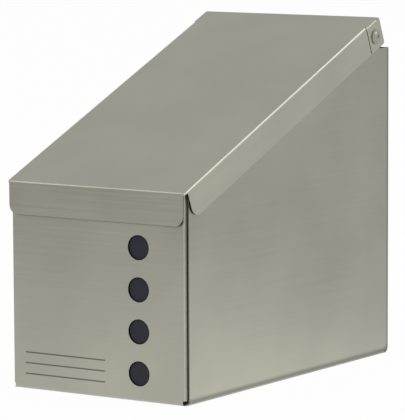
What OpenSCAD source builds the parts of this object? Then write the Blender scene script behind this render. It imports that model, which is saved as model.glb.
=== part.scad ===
// Folded sheet-steel storage box with a sloping hinged lid.
// Millimetres. +Z is up, the front faces -Y, and the origin is the middle of the base.

/* [Box] */
// Outer width over the two side walls
body_w = 170; // [120:1:260]
// Outer depth from the front wall's face to the back wall's face
body_d = 310; // [230:1:420]
// Height of the back wall and of the level rear part of the side walls
rear_h = 262; // [200:1:330]
// Height of the lid's top face at its front edge
lid_front_h = 168; // [110:1:200]

/* [Sheet] */
// Thickness of every folded sheet
sheet_t = 1; // [0.8:0.1:1.5]
// Inside radius of every fold
bend_r = 1; // [0.8:0.1:2]

/* [Front and floor] */
// How far the side walls' front edges stand behind the front wall's face
side_setback = 4.3; // [3.5:0.1:8]
// Depth of the flanges turned back from the front wall inside the side walls
return_d = 14; // [8:1:25]
// Gap between each of those flanges and its side wall
return_gap = 0.5; // [0.2:0.1:1]
// Height of the relief below those flanges
return_relief = 4; // [3.5:0.5:8]
// Gap between the front wall's top edge and the lid's underside
front_top_gap = 1.5; // [0.5:0.1:5]
// How far the floor's edges stand inside the outer faces of the walls above it
floor_inset = 1.5; // [1.2:0.1:4]

/* [Sight holes] */
// Number of holes in the column
sight_count = 4; // [1:1:4]
// Diameter of each hole
sight_d = 20; // [8:1:24]
// Distance between neighbouring holes
sight_pitch = 33.4; // [28:0.1:36]
// Height of the lowest hole's centre
sight_z = 22; // [18:0.5:30]
// Distance of the column from the middle of the front wall, towards +X
sight_x = 40; // [-50:1:50]
// Thickness of the dark window strip behind the holes
window_t = 2; // [1:0.5:4]
// How far the window strip reaches past the holes on each side
window_lap = 4; // [2:0.5:8]

/* [Walls] */
// Width of the flanges turned inwards from the walls on to the floor
foot_flange_w = 14; // [8:1:25]
// Radius of the walls' lower rear corners
rear_corner_r = 6; // [4:0.5:12]
// Radius of the tab round each pivot
tab_r = 7; // [5:0.5:8]

/* [Lid] */
// Gap between the lid's side flanges and the side walls
lid_side_gap = 0.3; // [0.2:0.1:1.5]
// Gap between the lid's front flange and the front wall
lid_front_gap = 1.75; // [0.8:0.05:4]
// Gap between the lid's underside and the sloping edges that it rests on
lid_rest_gap = 0.3; // [0.2:0.1:1]
// Depth of the lid's front flange, from the top face down
front_flange_h = 26.5; // [18:0.5:40]
// Depth of the lid's side flanges, square to the top face
side_flange_h = 25; // [18:0.5:40]
// How far the front flange's ends stand inside the side walls' outer faces
front_flange_inset = 0.9; // [0.2:0.1:5]
// Distance from the front edge to the side flanges' front ends
side_flange_start = 3.6; // [1:0.1:6]
// Radius of the lid's vertical front corners
lid_corner_r = 4; // [3.5:0.5:8]
// Radius of the front flange's rounded lower corners
front_corner_r = 8; // [3:0.5:12]
// Radius of the side flanges' rounded front corners
side_corner_r = 10; // [3:0.5:14]
// Angle that the lid opens through before its rear edge meets the side walls' level edges
stop_angle = 123.4; // [112:0.1:126]
// Width of the slit between each side flange and its hinge bracket
slit_w = 1.2; // [0.6:0.1:3]
// How far the unfolded plate edge beside the brackets stands inside the flange's face
plate_edge_inset = 0.1; // [0.1:0.1:1.5]

/* [Hinge] */
// Distance of the pivots in front of the back wall's face
pivot_inset = 24.5; // [20:0.5:40]
// Height of the pivots above the level rear edges
pivot_rise = 10.5; // [9:0.5:14]
// Distance of the pivots below the lid's top face, square to it
pivot_drop = 14.1; // [12:0.1:18]
// Length of each hinge bracket along the lid
bracket_l = 22; // [16:0.5:28]
// How far each bracket reaches below its pivot, square to the lid
bracket_drop = 11.3; // [8:0.1:14]
// Radius of the bracket's rounded corners
bracket_corner_r = 2; // [0.5:0.1:4]
// Width of the bracket's foot under the top plate
bracket_foot_w = 16; // [10:1:30]
// How far the foot stops short of the plate's rear edge
bracket_foot_inset = 0.8; // [0.2:0.1:4]
// Gap between each bracket and its side wall
bracket_gap = 0.15; // [0.1:0.05:0.2]

/* [Rivets] */
// Diameter of the rivet's shank
rivet_d = 4; // [3:0.1:5]
// Diameter of the rivet's head
rivet_head_d = 8; // [6.5:0.1:10]
// Height of the rivet's domed head
rivet_head_h = 1.3; // [0.8:0.1:2]
// Diameter of the swollen inner end
rivet_tail_d = 6.2; // [5.6:0.1:8]
// Length of the swollen inner end
rivet_tail_l = 5; // [3:0.5:8]
// Diameter of the pulled stem that stays in the rivet
stem_d = 2.2; // [1.6:0.1:2.6]
// How far the broken stem lies below the top of the head
stem_recess = 0.5; // [0.2:0.1:0.8]
// Diameter of the ball on the stem's inner end
stem_ball_d = 3.6; // [3:0.1:4]
// Diameter of the washers
washer_d = 13; // [10:0.5:14]
// Thickness of the washers
washer_t = 0.8; // [0.5:0.1:1.5]
// Radial clearance round the shank in every hole
pivot_clearance = 0.05; // [0.02:0.01:0.1]
// Gap between the outer washer and the bracket
washer_gap = 0.05; // [0.02:0.01:0.1]

/* [Hidden] */
$fn = 64;
steel = [0.66, 0.66, 0.61];
bright_steel = [0.75, 0.75, 0.72];
smoke = [0.12, 0.12, 0.14];

fold_r = bend_r + sheet_t;                      // outside radius of a fold
front_y = -body_d / 2;                          // face of the front wall
back_y = body_d / 2;                            // face of the back wall
side_x = body_w / 2;                            // face of the side walls

// The lid's top face starts at the front edge and passes pivot_drop from the pivots.
lid_front_y = front_y - lid_front_gap - sheet_t;
pivot_y = back_y - pivot_inset;
pivot_z = rear_h + pivot_rise;
reach_y = pivot_y - lid_front_y;
reach_z = pivot_z - lid_front_h;
reach = sqrt(reach_y * reach_y + reach_z * reach_z);
slope = atan2(reach_z, reach_y) + asin(pivot_drop / reach);
pivot_s = to_hundredth(sqrt(reach * reach - pivot_drop * pivot_drop));  // pivot up the slope
plate_tail = to_hundredth((pivot_rise + pivot_drop * cos(stop_angle - slope))
  / sin(stop_angle - slope));                   // reach of the top plate behind the pivots
lid_l = pivot_s + plate_tail;
lid_x = side_x + lid_side_gap + sheet_t;        // face of the lid's side flanges
slit_s = pivot_s - bracket_l / 2 - slit_w;      // rear ends of the lid's side flanges
front_fold_s = fold_r * tan((90 - slope) / 2);  // length that the front fold takes from each face
front_fold_steps = 8;

// Rounds a worked-out length, so that shapes built from it meet exactly
function to_hundredth(length) = round(100 * length) / 100;

// Height at the depth y of a plane that lies "below" under the lid's top face
function under_lid(y, below) =
  to_hundredth(lid_front_h + (y - lid_front_y) * tan(slope) - below / cos(slope));

// Front wall and floor
return_x = side_x - sheet_t - return_gap;       // outer face of the returned flanges
front_flat_x = return_x - fold_r;               // the front wall is flat between its folds
front_top_z = under_lid(front_y, sheet_t + front_top_gap);
floor_x = side_x - floor_inset;
window_y = front_y + sheet_t;

// Side and back walls, whose inward flanges lie on the floor
foot_z = sheet_t;
side_front_y = front_y + side_setback;
side_flat_y = back_y - fold_r;
back_flat_x = side_x - fold_r;
side_foot_y = back_y - rear_corner_r;           // rear ends of the side walls' bottom folds
back_foot_x = side_x - foot_flange_w - fold_r;  // ends of the back wall's bottom fold
rest_below = sheet_t + lid_rest_gap;
level_y = lid_front_y + (rear_h - lid_front_h + rest_below / cos(slope)) / tan(slope);

// Hinge stack, outwards from the inner end of the rivet
bracket_in_x = side_x + bracket_gap;
bracket_out_x = bracket_in_x + sheet_t;
outer_washer_x = bracket_out_x + washer_gap;
head_x = outer_washer_x + washer_t;
inner_washer_x = side_x - sheet_t - washer_t;
tail_x = inner_washer_x - rivet_tail_l;
hole_r = rivet_d / 2 + pivot_clearance;
bore_r = stem_d / 2 + pivot_clearance;
dome_r = (rivet_head_d * rivet_head_d / 4 + rivet_head_h * rivet_head_h) / (2 * rivet_head_h);

// ---- shapes that repeat ----

// Cross-section of a square fold: a quarter ring round [0, 0], between +x and +y
module quarter_ring() {
  intersection() {
    difference() {
      circle(fold_r);
      circle(bend_r);
    }
    square(fold_r);
  }
}

// Rectangle on y = 0, centred on x = 0, with round lower corners
module round_foot(w, h, r) {
  translate([r - w / 2, 0]) square([w - 2 * r, h]);
  translate([-w / 2, r]) square([w, h - r]);
  for (x = [r - w / 2, w / 2 - r]) translate([x, r]) circle(r);
}

// Makes a solid from x0 to x1 of an outline drawn in [y, z]
module along_x(x0, x1) {
  translate([x0, 0, 0]) rotate([90, 0, 90]) linear_extrude(x1 - x0) children();
}

// Makes a solid from y0 to y1 of an outline drawn in [x, z]
module along_y(y0, y1) {
  translate([0, y1, 0]) rotate([90, 0, 0]) linear_extrude(y1 - y0) children();
}

// Draws its children on the +X side, and again as a mirror image on the -X side
module both_sides() {
  for (side = [0, 1]) mirror([side, 0, 0]) children();
}

// Puts a shape on the lid: x stays, y runs up the slope and z is square to the top face
module on_lid() {
  translate([0, lid_front_y, lid_front_h]) rotate([slope, 0, 0]) children();
}

// Puts a shape on the pivot line: z points along +X, and z = 0 is the middle of the box
module on_pivot() {
  translate([0, pivot_y, pivot_z]) rotate([0, 90, 0]) children();
}

module washer(x) {
  on_pivot() translate([0, 0, x]) linear_extrude(washer_t) difference() {
    circle(d = washer_d);
    circle(hole_r);
  }
}

// ---- the box ----

// Front wall and floor, folded from one sheet, with a flange turned back at each end of the wall
module front_and_floor() {
  color(steel) {
    translate([-floor_x, front_y + fold_r, 0])
      cube([2 * floor_x, body_d - fold_r - floor_inset, sheet_t]);
    along_x(-front_flat_x, front_flat_x)
      translate([front_y + fold_r, fold_r]) rotate(180) quarter_ring();
    along_y(front_y, front_y + sheet_t) difference() {
      translate([-front_flat_x, fold_r]) square([2 * front_flat_x, front_top_z - fold_r]);
      for (i = [0 : sight_count - 1])
        translate([sight_x, sight_z + i * sight_pitch]) circle(d = sight_d);
    }
    both_sides() translate([0, front_y + fold_r, return_relief]) {
      translate([front_flat_x, 0, 0])
        linear_extrude(front_top_z - return_relief) rotate(-90) quarter_ring();
      translate([return_x - sheet_t, 0, 0])
        cube([sheet_t, return_d - fold_r, front_top_z - return_relief]);
    }
  }
}

// Outline in [y, z] of the flat part of a side wall, with the tab that carries the pivot
module side_outline() {
  difference() {
    union() {
      polygon([
        [side_front_y, foot_z + fold_r], [side_foot_y, foot_z + fold_r],
        [side_foot_y, foot_z + rear_corner_r], [side_flat_y, foot_z + rear_corner_r],
        [side_flat_y, rear_h], [level_y, rear_h],
        [side_front_y, under_lid(side_front_y, rest_below)]
      ]);
      intersection() {
        translate([side_foot_y, foot_z + rear_corner_r]) circle(rear_corner_r);
        translate([side_foot_y, foot_z]) square([side_flat_y - side_foot_y, rear_corner_r]);
      }
      translate([pivot_y - tab_r, rear_h - sheet_t]) square([2 * tab_r, pivot_rise + sheet_t]);
      translate([pivot_y, pivot_z]) circle(tab_r);
    }
    translate([pivot_y, pivot_z]) circle(hole_r);
  }
}

// Outline in [x, z] of the back wall, rear folds included
module back_outline() {
  translate([0, foot_z]) round_foot(body_w, rear_h - foot_z, rear_corner_r);
}

// Both side walls and the back wall, folded from one sheet round the two rear corners
module side_and_back_wrap() {
  color(steel) {
    both_sides() {
      along_x(side_x - sheet_t, side_x) side_outline();
      along_y(side_front_y, side_foot_y)
        translate([back_flat_x, foot_z + fold_r]) rotate(-90) quarter_ring();
      translate([side_x - foot_flange_w, side_front_y, foot_z])
        cube([foot_flange_w - fold_r, side_foot_y - side_front_y, sheet_t]);
      intersection() {
        translate([back_flat_x, side_flat_y, foot_z])
          linear_extrude(rear_h - foot_z) quarter_ring();
        along_y(side_flat_y, back_y) back_outline();
        along_x(back_flat_x, side_x)
          translate([0, foot_z]) round_foot(body_d, rear_h - foot_z, rear_corner_r);
      }
    }
    along_y(back_y - sheet_t, back_y) difference() {
      intersection() {
        back_outline();
        translate([-back_flat_x, 0]) square([2 * back_flat_x, rear_h]);
      }
      translate([-back_foot_x, 0]) square([2 * back_foot_x, foot_z + fold_r]);
    }
    along_x(-back_foot_x, back_foot_x)
      translate([side_flat_y, foot_z + fold_r]) rotate(-90) quarter_ring();
    translate([-back_foot_x, back_y - foot_flange_w, foot_z])
      cube([2 * back_foot_x, foot_flange_w - fold_r, sheet_t]);
  }
}

// Dark strip behind the sight holes
module sight_window() {
  half_w = sight_d / 2 + window_lap;
  column_h = (sight_count - 1) * sight_pitch;
  color(smoke) translate([sight_x - half_w, window_y, sight_z - half_w])
    cube([2 * half_w, window_t, column_h + 2 * half_w]);
}

// ---- the lid ----

// Outline in [y, z] of the lid's frame: the space under planes that lie "inset" inside the lid's
// top and front faces, joined by the front fold, down to a depth that clears both flanges
module lid_side_view(inset) {
  r = fold_r - inset;
  depth = front_flange_h + side_flange_h;
  arc = [for (i = [0 : front_fold_steps])
    let (a = 180 - slope - i * (90 - slope) / front_fold_steps)
    [front_fold_s + r * cos(a), r * sin(a) - fold_r]];
  polygon(concat([arc[0] - depth * [sin(slope), cos(slope)]], arc,
    [[slit_s + inset, -inset], [slit_s + inset, -depth]]));
}

// Outline in [x, z] of the lid's frame: the space "inset" inside the side flanges and the top face
module lid_end_view(inset) {
  translate([0, -inset]) mirror([0, 1])
    round_foot(2 * (lid_x - inset), 2 * (front_flange_h + side_flange_h), fold_r - inset);
}

// The space that the lid's faces enclose, "inset" inside them; seen from above, its front corners
// are round
module lid_space(inset) {
  intersection() {
    on_lid() along_x(-lid_x, lid_x) lid_side_view(inset);
    on_lid() along_y(-front_flange_h, slit_s + inset) lid_end_view(inset);
    translate([0, lid_front_y + inset, 0]) linear_extrude(pivot_z + reach_z)
      round_foot(2 * (lid_x - inset), body_d, lid_corner_r - inset);
  }
}

// Where the lid has metal: its folds, its side flanges and its front flange
module lid_outline() {
  flange_x = side_x - front_flange_inset;
  flange_l = slit_s - side_flange_start;
  on_lid() {
    translate([-lid_x, -fold_r, -fold_r]) cube([2 * lid_x, slit_s + fold_r, 2 * fold_r]);
    along_x(-lid_x, lid_x) intersection() {
      translate([side_flange_start, -side_flange_h]) square([flange_l, side_flange_h]);
      translate([slit_s, -side_flange_h])
        round_foot(2 * flange_l, side_flange_h, side_corner_r);
    }
  }
  along_y(lid_front_y - sheet_t, lid_front_y + fold_r)
    translate([0, lid_front_h - front_flange_h])
      round_foot(2 * flange_x, front_flange_h, front_corner_r);
}

// Lid, folded down at its front and sides; its rear end stays flat to clear the brackets
module lid() {
  edge_x = lid_x - plate_edge_inset;
  color(steel) {
    intersection() {
      difference() {
        lid_space(0);
        lid_space(sheet_t);
      }
      lid_outline();
    }
    on_lid() translate([-edge_x, slit_s, -sheet_t]) cube([2 * edge_x, lid_l - slit_s, sheet_t]);
  }
}

// ---- the hinge ----

// Outline in [y, z] of the lid's frame of a bracket's ear; behind the foot it rises to the plate
module ear_outline(front_s, foot_l) {
  fold_z = -sheet_t - fold_r;
  low_z = -pivot_drop - bracket_drop;
  difference() {
    union() {
      translate([pivot_s, low_z])
        round_foot(bracket_l, fold_z - low_z - bracket_corner_r, bracket_corner_r);
      translate([front_s, fold_z - bracket_corner_r]) square([foot_l, bracket_corner_r]);
      intersection() {
        translate([pivot_s, -sheet_t]) mirror([0, 1])
          round_foot(bracket_l, fold_r + 2 * bracket_corner_r, bracket_corner_r);
        translate([front_s + foot_l, low_z]) square([bracket_l, -low_z]);
      }
    }
    translate([pivot_s, -pivot_drop]) circle(hole_r);
  }
}

// Angle bracket: a foot under the top plate and an ear outside the side wall's tab
module hinge_bracket() {
  front_s = pivot_s - bracket_l / 2;
  foot_l = lid_l - bracket_foot_inset - front_s;
  on_lid() {
    along_x(bracket_in_x, bracket_out_x) ear_outline(front_s, foot_l);
    along_y(front_s, front_s + foot_l)
      translate([bracket_out_x - fold_r, -sheet_t - fold_r]) quarter_ring();
    translate([bracket_out_x - bracket_foot_w, front_s, -2 * sheet_t])
      cube([bracket_foot_w - fold_r, foot_l, sheet_t]);
  }
}

module hinge_bracket_right() {
  color(steel) hinge_bracket();
}

module hinge_bracket_left() {
  color(steel) mirror([1, 0, 0]) hinge_bracket();
}

// Blind rivet: domed head outside, straight shank, swollen inner end, bored for its stem
module rivet() {
  shank_r = rivet_d / 2;
  tail_r = rivet_tail_d / 2;
  taper = tail_r - shank_r;
  on_pivot() rotate_extrude() difference() {
    union() {
      translate([0, tail_x]) square([shank_r, head_x - tail_x]);
      polygon([[0, tail_x], [tail_r - taper, tail_x], [tail_r, tail_x + taper],
        [tail_r, inner_washer_x], [0, inner_washer_x]]);
      intersection() {
        translate([0, head_x + rivet_head_h - dome_r]) circle(dome_r);
        translate([0, head_x]) square([rivet_head_d / 2, rivet_head_h]);
      }
    }
    translate([-shank_r, tail_x - sheet_t])
      square([shank_r + bore_r, head_x + rivet_head_h - tail_x + 2 * sheet_t]);
  }
}

module rivet_right() {
  color(bright_steel) rivet();
}

module rivet_left() {
  color(bright_steel) mirror([1, 0, 0]) rivet();
}

// Stem that pulled the rivet tight and broke off below the head, with its ball at the inner end
module rivet_stem() {
  ball_r = stem_ball_d / 2;
  ball_x = tail_x - ball_r;
  on_pivot() {
    translate([0, 0, ball_x])
      cylinder(d = stem_d, h = head_x + rivet_head_h - stem_recess - ball_x);
    translate([0, 0, ball_x]) sphere(ball_r);
  }
}

module rivet_stem_right() {
  color(bright_steel) rivet_stem();
}

module rivet_stem_left() {
  color(bright_steel) mirror([1, 0, 0]) rivet_stem();
}

module outer_washer_right() {
  color(bright_steel) washer(outer_washer_x);
}

module outer_washer_left() {
  color(bright_steel) mirror([1, 0, 0]) washer(outer_washer_x);
}

module inner_washer_right() {
  color(bright_steel) washer(inner_washer_x);
}

module inner_washer_left() {
  color(bright_steel) mirror([1, 0, 0]) washer(inner_washer_x);
}

front_and_floor();
side_and_back_wrap();
sight_window();
lid();
hinge_bracket_left();
hinge_bracket_right();
rivet_left();
rivet_right();
rivet_stem_left();
rivet_stem_right();
outer_washer_left();
outer_washer_right();
inner_washer_left();
inner_washer_right();
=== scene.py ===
import math

import bpy
import numpy as np
from mathutils import Matrix, Vector


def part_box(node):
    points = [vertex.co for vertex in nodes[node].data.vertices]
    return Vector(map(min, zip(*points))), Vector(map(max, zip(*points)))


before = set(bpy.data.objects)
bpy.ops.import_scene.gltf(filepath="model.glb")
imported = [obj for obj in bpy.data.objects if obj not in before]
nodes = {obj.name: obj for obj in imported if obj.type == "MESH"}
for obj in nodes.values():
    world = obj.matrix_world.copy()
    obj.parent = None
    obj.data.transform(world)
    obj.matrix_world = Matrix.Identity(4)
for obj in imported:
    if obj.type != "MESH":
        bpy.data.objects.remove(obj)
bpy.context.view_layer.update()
print("box frame loaded:", len(nodes), "pieces")

noiseSpan = (0.32, 0.68)    # most of a noise lies in here
easing = {"interpolation_type": "SMOOTHSTEP"}
shadeRays = {"samples": 8}


def addNode(tree, kind, settings=None, **sockets):
    # a socket is named by its words, with _ for a space, or by i and its number;
    # it gets a plain value, or the output that it is linked to
    node = tree.nodes.new("ShaderNode" + kind)
    for key, value in (settings or {}).items():
        setattr(node, key, value)
    for key, value in sockets.items():
        byNumber = key[0] == "i" and key[1:].isdigit()
        target = node.inputs[int(key[1:]) if byNumber else key.replace("_", " ")]
        if isinstance(value, bpy.types.NodeSocket):
            tree.links.new(value, target)
        else:
            target.default_value = value
    return node


def numbered(values):
    return {"i" + str(number): value for number, value in enumerate(values)}


def maths(tree, operation, *values):
    return addNode(tree, "Math", {"operation": operation}, **numbered(values)).outputs[0]


def vectorMaths(tree, operation, *values):
    node = addNode(tree, "VectorMath", {"operation": operation}, **numbered(values))
    givesNumber = operation in ("LENGTH", "DISTANCE", "DOT_PRODUCT")
    return node.outputs["Value" if givesNumber else "Vector"]


def blend(tree, factor, first, second):
    return addNode(tree, "Mix", Factor=factor, A=first, B=second).outputs["Result"]


def spread(tree, value, low, high, span=noiseSpan, settings=None):
    # from low to high as the value goes from one end of the span to the other, and no further
    node = addNode(tree, "MapRange", settings, Value=value, From_Min=span[0], From_Max=span[1],
                   To_Min=low, To_Max=high)
    return node.outputs["Result"]


def addNoise(tree, place, waves, detail, roughness=0.5):
    # waves: how many a metre, along X, Y and Z
    squeezed = addNode(tree, "Mapping", Vector=place, Scale=waves).outputs["Vector"]
    noise = addNode(tree, "TexNoise", Vector=squeezed, Scale=1.0, Detail=detail, Roughness=roughness)
    return noise.outputs["Fac"]


def blankFinish(name):
    material = bpy.data.materials.new(name)
    material.use_nodes = True
    tree = material.node_tree
    tree.nodes.clear()
    shader = addNode(tree, "BsdfPrincipled")
    addNode(tree, "OutputMaterial", Surface=shader.outputs["BSDF"])
    return material, shader


def tint(tree, colour, level, shader):
    # the finish's colour, made darker or lighter by the level
    tinted = addNode(tree, "VectorMath", {"operation": "SCALE"}, i0=colour, Scale=level)
    tree.links.new(tinted.outputs["Vector"], shader.inputs["Base Color"])


def giveFinish(names, material):
    for name in names:
        slots = nodes[name].data.materials
        slots.clear()
        slots.append(material)


# lengths are in metres
steelLook = {
    "pale": (0.445, 0.440, 0.370), "dark": (0.36, 0.356, 0.299),
    "roughness": (0.30, 0.46),
    "grainWidth": 0.00030, "grainLength": 0.035, "grainDepth": 0.000015, "grainSpan": (0.36, 0.64),
    "streakWidth": 0.0018, "streakLength": 0.13, "streakShare": 0.62,
    "patchSize": 0.09, "patchTone": (0.05, 0.55), "grainTone": 0.36,   # shares of the pale colour
    "waveSize": 0.07, "waveDepth": 0.0009,          # dents of the panels
    "cutEdgeShade": 0.75,                                # painted shade on the sheet's raw cut edges
    "paintedSideLight": 1.0,                               # painted light: faces that look along X made lighter
    # painted shade in the crevices: how far it reaches, where it clears and how dark it gets
    "creviceShadeReach": 0.006, "creviceShadeSpan": (0.15, 0.85), "creviceShadeTone": 0.3,
    "ownCreviceShade": True,                            # painted shade only in those between a piece's own faces
}
facingLimit = 0.6    # a face looks along an axis above this share of its direction
edgeLimit = 0.5      # and shows a sheet edge on below this one


def rawEdges(tree, place, laidPlace, facing, cuts):
    # 1 on the sheet's cut edges: past a plane, on faces that don't look across it, below the top fold
    spot = addNode(tree, "SeparateXYZ", Vector=place)
    height = addNode(tree, "SeparateXYZ", Vector=laidPlace).outputs["Z"]
    found = 0.0
    for axis, plane in cuts["planes"]:
        beyond = maths(tree, "GREATER_THAN", maths(tree, "ABSOLUTE", spot.outputs[axis]), plane)
        edgeOn = maths(tree, "LESS_THAN", facing[axis], edgeLimit)
        found = maths(tree, "MAXIMUM", found, maths(tree, "MULTIPLY", beyond, edgeOn))
    return maths(tree, "MULTIPLY", found, maths(tree, "LESS_THAN", height, cuts["below"]))


def borderShade(tree, place, border):
    # painted shade along the border of a rounded rectangle, and the same for the etched lines: a point's
    # reach is its distance to the rectangle less its corner radius all round; it is darkest where the reach
    # is the radius, and clears over
    # "outside" beyond the border and over "fade" within it
    radius = border["radius"]
    inner = [half - radius if half else 0 for half in border["half"]]
    used = [1.0 if half else 0.0 for half in border["half"]]
    flat = vectorMaths(tree, "MULTIPLY", place, used)
    mirrored = vectorMaths(tree, "ABSOLUTE", vectorMaths(tree, "SUBTRACT", flat, border["middle"]))
    past = vectorMaths(tree, "SUBTRACT", mirrored, inner)
    reach = vectorMaths(tree, "LENGTH", vectorMaths(tree, "MAXIMUM", past, (0, 0, 0)))
    start = radius - border["inside"]
    outside = spread(tree, reach, border["tone"], 1.0, (radius, radius + border["outside"]), easing)
    inside = spread(tree, reach, border["tone"], 1.0, (start, start - border["fade"]), easing)
    return maths(tree, "MAXIMUM", outside, inside)


def brushedSteel(name, look, brushing, lay=0.0, borders=(), cuts=None):
    # brushing: the way it runs on faces that look along X, Y and Z; lay: the turn about X, in
    # radians, that lays the piece level
    material, shader = blankFinish(name)
    tree = material.node_tree
    place = addNode(tree, "TexCoord").outputs["Object"]
    laid = addNode(tree, "Mapping", Vector=place, Rotation=(lay, 0, 0))
    laidPlace = laid.outputs["Vector"]
    grains = {}
    for way in sorted(set(brushing)):
        fineWaves = [1 / look["grainLength" if axis == way else "grainWidth"] for axis in "xyz"]
        broadWaves = [1 / look["streakLength" if axis == way else "streakWidth"] for axis in "xyz"]
        fine = addNoise(tree, laidPlace, fineWaves, detail=3.0, roughness=0.6)
        broad = addNoise(tree, laidPlace, broadWaves, detail=2.0)
        grains[way] = blend(tree, look["streakShare"], fine, broad)

    # which way a face looks, by the piece's own axes, so that the finish turns with the lid
    worldNormal = addNode(tree, "NewGeometry").outputs["True Normal"]
    toPiece = {"vector_type": "NORMAL", "convert_from": "WORLD", "convert_to": "OBJECT"}
    ownNormal = addNode(tree, "VectorTransform", toPiece, Vector=worldNormal).outputs["Vector"]
    normal = addNode(tree, "SeparateXYZ", Vector=ownNormal)
    facing, looksAlong = {}, {}
    for axis in "XYZ":
        facing[axis] = maths(tree, "ABSOLUTE", normal.outputs[axis])
        looksAlong[axis] = maths(tree, "GREATER_THAN", facing[axis], facingLimit)
    grain = grains[brushing[0]]
    for axis, way in zip("YZ", brushing[1:]):
        if way != brushing[0]:
            grain = blend(tree, looksAlong[axis], grain, grains[way])

    patches = addNoise(tree, laidPlace, [1 / look["patchSize"]] * 3, detail=3.0)
    patchPart = spread(tree, patches, *look["patchTone"])
    grainPart = spread(tree, grain, 0.0, 1.0, look["grainSpan"])
    share = maths(tree, "MULTIPLY_ADD", grainPart, look["grainTone"], patchPart)
    tone = addNode(tree, "Mix", {"data_type": "RGBA"}, Factor=share,
                   A=(*look["dark"], 1), B=(*look["pale"], 1)).outputs["Result"]
    # painted shade in the crevices, and painted light on the faces that look along X
    paintedCreviceShade = addNode(tree, "AmbientOcclusion", dict(shadeRays, only_local=look["ownCreviceShade"]),
                      Distance=look["creviceShadeReach"]).outputs["AO"]
    shades = [spread(tree, paintedCreviceShade, look["creviceShadeTone"], 1.0, look["creviceShadeSpan"]),
              blend(tree, looksAlong["X"], 1.0, look["paintedSideLight"])]
    # painted shade on the sheet's cut edges
    if cuts:
        edge = rawEdges(tree, place, laidPlace, facing, cuts)
        shades.append(blend(tree, edge, 1.0, look["cutEdgeShade"]))
    # along the borders: painted shade, and the etched lines
    for border in borders:
        shade = borderShade(tree, place, border)
        shades.append(blend(tree, looksAlong[border["on"]], 1.0, shade))
    level = shades[0]
    for shade in shades[1:]:
        level = maths(tree, "MULTIPLY", level, shade)
    tint(tree, tone, level, shader)

    tree.links.new(spread(tree, grain, *look["roughness"]), shader.inputs["Roughness"])
    shader.inputs["Metallic"].default_value = 1.0
    dents = addNoise(tree, laidPlace, [1 / look["waveSize"]] * 3, detail=0.0)
    dented = addNode(tree, "Bump", Height=dents, Distance=look["waveDepth"]).outputs["Normal"]
    brushed = addNode(tree, "Bump", Height=grain, Distance=look["grainDepth"], Normal=dented)
    tree.links.new(brushed.outputs["Normal"], shader.inputs["Normal"])
    return material


sheet = 0.001               # thickness of the steel
edgeDepth = 1.2 * sheet     # how far in from the outside a cut edge is looked for
holeDepth = 0.98 * sheet    # less than the sheet, so that the front wall's returns stay clear
foldDepth = 2.5 * sheet     # the lid's top folds, which aren't cut
wrapLow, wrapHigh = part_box("side_and_back_wrap")
frontFace = -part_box("front_and_floor")[0][1]
lidLow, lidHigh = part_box("lid")

# side walls and back: painted light on the side walls, and painted shade along the folds to the back and to
# the floor
farPast = 0.3    # half the shaded rectangle, so that its other two borders lie far past the wall
wrapLook = dict(steelLook, paintedSideLight=1.15)
foldShade = {"middle": (0, wrapHigh[1] - farPast, wrapLow[2] + farPast), "half": (0, farPast, farPast),
             "radius": 0.009, "on": "X", "tone": 0.5, "outside": 0.01, "inside": 0.0014, "fade": 0.004}
wrapCuts = {"below": 1.0, "planes": [("X", wrapHigh[0] - edgeDepth)]}    # all of its height
wrapSteel = brushedSteel("wrapSteel", wrapLook, "yxy", borders=[foldShade], cuts=wrapCuts)
giveFinish(["side_and_back_wrap"], wrapSteel)

# front wall and floor: painted shade on the edges in the sight holes and round the outline of the lid's
# flange, and a plain write-on field of etched lines
holesTop = 0.14          # the highest hole is below this
flangeReach = 0.1        # half the outline's height; its top is out of sight under the lid
flangeInset = 0.0009     # from the side wall to the flange's end
panLook = dict(steelLook, cutEdgeShade=0.02)
flangeShade = {"middle": (0, 0, lidLow[2] + flangeReach),
               "half": (wrapHigh[0] - flangeInset, 0, flangeReach),
               "radius": 0.008, "on": "Y", "tone": 0.5, "outside": 0.0016, "inside": 0.0012, "fade": 0.0025}
writeOnField = {"lines": 3, "lowest": 0.0125, "apart": 0.0087, "middle": -0.032, "halfLength": 0.0392,
                "halfWidth": 0.0004, "tone": 0.34}
etchedLines = []
for number in range(writeOnField["lines"]):
    height = writeOnField["lowest"] + number * writeOnField["apart"]
    etchedLines.append({"middle": (writeOnField["middle"], 0, height),
                        "half": (writeOnField["halfLength"], 0, writeOnField["halfWidth"]),
                        "radius": writeOnField["halfWidth"], "on": "Y", "tone": writeOnField["tone"],
                        "outside": 0.0003, "inside": 0.01, "fade": 0.001})
panCuts = {"below": holesTop, "planes": [("Y", frontFace - holeDepth)]}
panSteel = brushedSteel("panSteel", panLook, "zxx", borders=[flangeShade] + etchedLines, cuts=panCuts)
giveFinish(["front_and_floor"], panSteel)

# lid: painted light on its side flanges and painted shade on its cut edges; its top fold isn't one of those
# edges
lidLook = dict(steelLook, cutEdgeShade=0.07, paintedSideLight=1.34)
lidMesh = nodes["lid"].data
plate = max(lidMesh.polygons, key=lambda face: face.area).normal    # its largest face is the top plate's
slope = math.atan2(abs(plate.y), abs(plate.z))
corners = np.empty(len(lidMesh.vertices) * 3)
lidMesh.vertices.foreach_get("co", corners)
lidTop = float((corners.reshape(-1, 3) @ (0, -math.sin(slope), math.cos(slope))).max())
lidCuts = {"below": lidTop - foldDepth,
           "planes": [("X", lidHigh[0] - edgeDepth), ("Y", -lidLow[1] - edgeDepth)]}
lidSteel = brushedSteel("lidSteel", lidLook, "yxy", lay=-slope, cuts=lidCuts)
giveFinish(["lid", "hinge_bracket_left", "hinge_bracket_right"], lidSteel)

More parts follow.
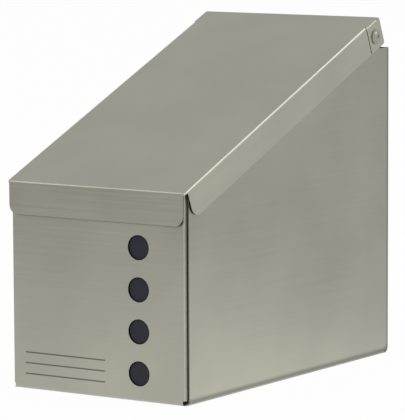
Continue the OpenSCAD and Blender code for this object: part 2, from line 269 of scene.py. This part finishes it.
# rivets and washers: a brighter steel, with painted shade in the crevices against their neighbours
rivetLook = dict(steelLook, pale=(0.60, 0.59, 0.52), dark=(0.42, 0.41, 0.355), roughness=(0.20, 0.34),
                 grainLength=0.002, waveDepth=0.0, creviceShadeReach=0.004, creviceShadeSpan=(0.15, 0.95),
                 creviceShadeTone=0.0, ownCreviceShade=False)
rivetSteel = brushedSteel("rivetSteel", rivetLook, "xxx")
giveFinish([name for name in nodes if "rivet" in name or "washer" in name], rivetSteel)
print("steel finishes done")

windowLook = {
    "colour": (0.029, 0.030, 0.042), "roughness": (0.22, 0.36), "specular": 0.14,
    "hazeWaves": 60,                                                  # a metre
    "rimReach": 0.003, "rimSpan": (0.64, 0.94), "rimTone": 0.0,       # shade round the holes in front
}


def smokedPlastic(name, look):
    material, shader = blankFinish(name)
    tree = material.node_tree
    place = addNode(tree, "TexCoord").outputs["Object"]
    haze = addNoise(tree, place, [look["hazeWaves"]] * 3, detail=3.0)
    tree.links.new(spread(tree, haze, *look["roughness"]), shader.inputs["Roughness"])
    rim = addNode(tree, "AmbientOcclusion", shadeRays, Distance=look["rimReach"]).outputs["AO"]
    tint(tree, look["colour"], spread(tree, rim, look["rimTone"], 1.0, look["rimSpan"]), shader)
    shader.inputs["Specular IOR Level"].default_value = look["specular"]
    return material


giveFinish(["sight_window"], smokedPlastic("smokedWindow", windowLook))
print("smoked window done")

lamps = {
    "softbox": {"place": (0.95, 0.85, 1.75), "size": (1.4, 1.4), "watts": 8.0, "aim": (0, 0, 0.2)},
    "frontWindow": {"place": (-1.3, -1.2, 1.5), "size": (1.3, 1.3), "watts": 6.5, "aim": (0, 0, 0.15)},
    "edgeStrip": {"place": (1.9, -1.25, 0.3), "size": (0.5, 0.7), "watts": 5, "aim": (0, 0, 0.1)},
}


def hangLamp(name, lamp):
    data = bpy.data.lights.new(name, "AREA")
    data.shape = "RECTANGLE"
    data.size, data.size_y = lamp["size"]
    data.energy = lamp["watts"]
    obj = bpy.data.objects.new(name, data)
    bpy.context.scene.collection.objects.link(obj)
    obj.location = lamp["place"]
    aim = Vector(lamp["aim"]) - Vector(lamp["place"])
    obj.rotation_euler = aim.to_track_quat("-Z", "Y").to_euler()


for name, lamp in lamps.items():
    hangLamp(name, lamp)
print("lamps done")

sideWay = (0.55, 0.83, 0)    # level, from what the front wall reflects to what the side wall reflects
room = {
    "ambient": 0.62,                                          # what dull surfaces see
    "front": 0.44, "side": 0.74, "sideSpan": (-0.7, 0.7),     # what metal sees low down
    "high": 0.775, "highSpan": (0.0, 0.6),                    # and overhead
    "endWay": (-0.3, 0.95, 0), "endTone": 0.30, "endSpan": (0.75, 0.96),   # darker end of the room
}


def lookedAt(tree):
    # the light path, and 1 where the camera, a reflection or glass looks, 0 for light on dull surfaces
    path = addNode(tree, "LightPath").outputs
    direct = maths(tree, "ADD", path["Is Camera Ray"], path["Is Glossy Ray"])
    either = addNode(tree, "Math", {"operation": "ADD", "use_clamp": True}, i0=direct,
                     i1=path["Is Transmission Ray"])
    return path, either.outputs[0]


def paintRoom():
    # white to the camera; metal sees it paler towards the side and overhead, and darker at one end
    world = bpy.data.worlds.new("studioRoom")
    bpy.context.scene.world = world
    world.use_nodes = True
    tree = world.node_tree
    tree.nodes.clear()
    path, seen = lookedAt(tree)
    way = addNode(tree, "TexCoord").outputs["Generated"]
    height = addNode(tree, "SeparateXYZ", Vector=way).outputs["Z"]
    sideways = vectorMaths(tree, "DOT_PRODUCT", way, sideWay)
    low = spread(tree, sideways, room["front"], room["side"], room["sideSpan"])
    walls = blend(tree, spread(tree, height, 0.0, 1.0, room["highSpan"]), low, room["high"])
    endwards = vectorMaths(tree, "DOT_PRODUCT", way, room["endWay"])
    end = spread(tree, endwards, 1.0, room["endTone"], room["endSpan"], easing)
    level = blend(tree, seen, room["ambient"], maths(tree, "MULTIPLY", walls, end))
    shown = blend(tree, path["Is Camera Ray"], level, 1.0)
    background = addNode(tree, "Background", Color=(1, 1, 1, 1), Strength=shown)
    addNode(tree, "OutputWorld", Surface=background.outputs["Background"])


paintRoom()

paperFloor = {
    "half": 6.0, "colour": (0.86, 0.86, 0.86), "roughness": 0.9,
    "glow": 0.97,                                                          # how white it looks
    "near": 1.10, "front": 0.58, "side": 0.64, "sideSpan": (-0.6, 0.6),    # what metal sees
    "middle": (0.05, -0.33, 0), "reach": (0.15, 1.0),
}


def layFloor():
    # white to the camera; metal sees it fall off from its middle into the room
    half = paperFloor["half"]
    mesh = bpy.data.meshes.new("studioFloor")
    mesh.from_pydata([(-half, -half, 0), (half, -half, 0), (half, half, 0), (-half, half, 0)], [],
                     [(0, 1, 2, 3)])
    floor = bpy.data.objects.new("studioFloor", mesh)
    bpy.context.scene.collection.objects.link(floor)
    material, shader = blankFinish("floorPaper")
    tree = material.node_tree
    shader.inputs["Base Color"].default_value = (*paperFloor["colour"], 1)
    shader.inputs["Roughness"].default_value = paperFloor["roughness"]
    path, seen = lookedAt(tree)
    place = addNode(tree, "TexCoord").outputs["Object"]
    sideways = vectorMaths(tree, "DOT_PRODUCT", place, sideWay)
    distant = spread(tree, sideways, paperFloor["front"], paperFloor["side"], paperFloor["sideSpan"])
    away = vectorMaths(tree, "DISTANCE", place, paperFloor["middle"])
    fade = spread(tree, away, 0.0, 1.0, paperFloor["reach"], easing)
    paper = blend(tree, fade, paperFloor["near"], distant)
    glow = addNode(tree, "Emission", Strength=blend(tree, path["Is Camera Ray"], paper, 1.0))
    both = addNode(tree, "MixShader", i0=maths(tree, "MULTIPLY", seen, paperFloor["glow"]),
                   i1=shader.outputs["BSDF"], i2=glow.outputs["Emission"])
    surface = next(node for node in tree.nodes if node.type == "OUTPUT_MATERIAL").inputs["Surface"]
    tree.links.new(both.outputs["Shader"], surface)
    mesh.materials.append(material)


layFloor()
print("room and floor done")

camera = {
    "azimuth": 33.7, "elevation": 7.18, "roll": -0.25,    # degrees
    "distance": 2.695, "aimHeight": 0.12,
    "lens": 278.6, "shiftX": -0.0071, "shiftY": 0.0381, "clipEnd": 50,
}


def setUpCamera():
    # looks at a point above the middle of the floor, from round the object and a little above it
    azimuth, elevation = math.radians(camera["azimuth"]), math.radians(camera["elevation"])
    back = Vector((math.sin(azimuth) * math.cos(elevation),
                   -math.cos(azimuth) * math.cos(elevation), math.sin(elevation)))
    aim = Vector((0, 0, camera["aimHeight"]))
    right = Vector((math.cos(azimuth), math.sin(azimuth), 0))
    up = back.cross(right)
    roll = math.radians(camera["roll"])
    rolledRight = right * math.cos(roll) + up * math.sin(roll)
    rolledUp = up * math.cos(roll) - right * math.sin(roll)
    turn = Matrix((rolledRight, rolledUp, back)).transposed().to_4x4()
    data = bpy.data.cameras.new("viewCamera")
    data.lens = camera["lens"]
    data.shift_x = camera["shiftX"]
    data.shift_y = camera["shiftY"]
    data.clip_end = camera["clipEnd"]
    obj = bpy.data.objects.new("viewCamera", data)
    bpy.context.scene.collection.objects.link(obj)
    obj.matrix_world = Matrix.Translation(aim + back * camera["distance"]) @ turn
    bpy.context.scene.camera = obj


setUpCamera()
bpy.context.scene.view_settings.view_transform = "Standard"
print("camera done")
